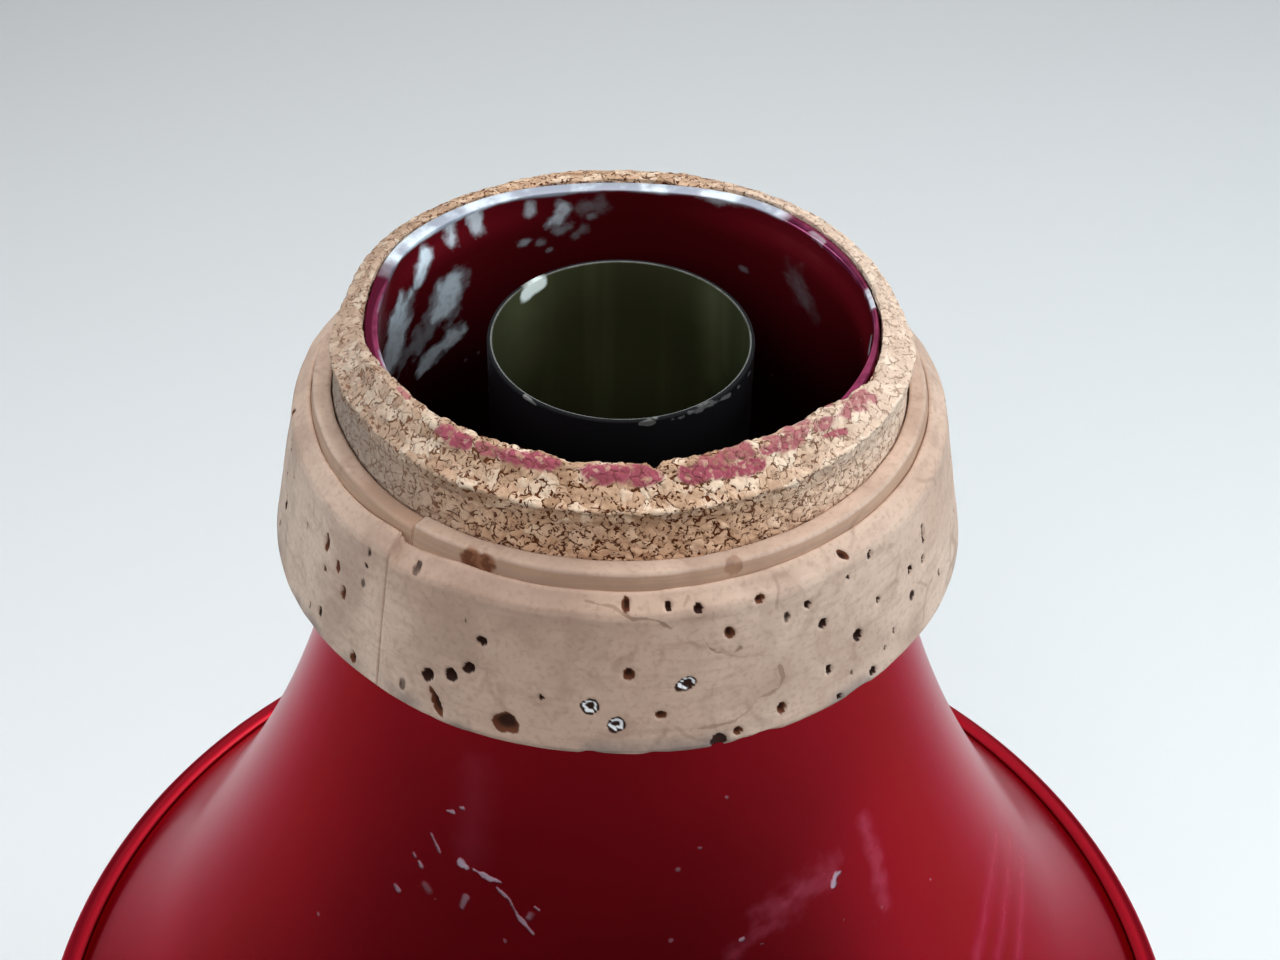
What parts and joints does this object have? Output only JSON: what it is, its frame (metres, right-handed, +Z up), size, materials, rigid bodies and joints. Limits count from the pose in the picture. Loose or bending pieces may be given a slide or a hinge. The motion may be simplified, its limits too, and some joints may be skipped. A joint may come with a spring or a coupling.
{
  "type": "wah-wah mute",
  "caption": "Bulb-shaped spun-metal mute for a trumpet, with a layered cork ring on its neck and a flared stem that slides through a corked collar in its base.",
  "frame": {"origin": "centre of the stem cup's flat rim, on the plane the mute stands on", "axes": "+Z up the mute's axis from the stem cup to the mouth; -Y faces the viewer of the picture, with the cork's butt joints to its left"},
  "size_m": [0.0892, 0.0892, 0.1418],
  "materials": {
    "red_lacquer": "clear deep-red lacquer over polished spun sheet, scratched",
    "grain_cork": "pressed cork grains, rough",
    "sheet_cork": "natural sheet cork with pores, sanded smooth",
    "black_stem": "black lacquer, worn to bare metal at the end",
    "bare_metal": "turned, satin"
  },
  "bodies": {
    "mute_body": {"neck_shell": "red_lacquer", "base_shell": "red_lacquer", "cork_sleeve": "grain_cork", "cork_inner_wrap": "sheet_cork", "cork_outer_wrap": "sheet_cork", "stem_collar": "bare_metal", "collar_lining": "sheet_cork"},
    "stem": {"stem_tube": "black_stem", "stem_cup": "black_stem"}
  },
  "joints": [
    {"name": "stem_slide", "type": "slide", "parent": "mute_body", "child": "stem", "axis": [0, 0, -1], "range_m": [0, 0.06]}
  ]
}
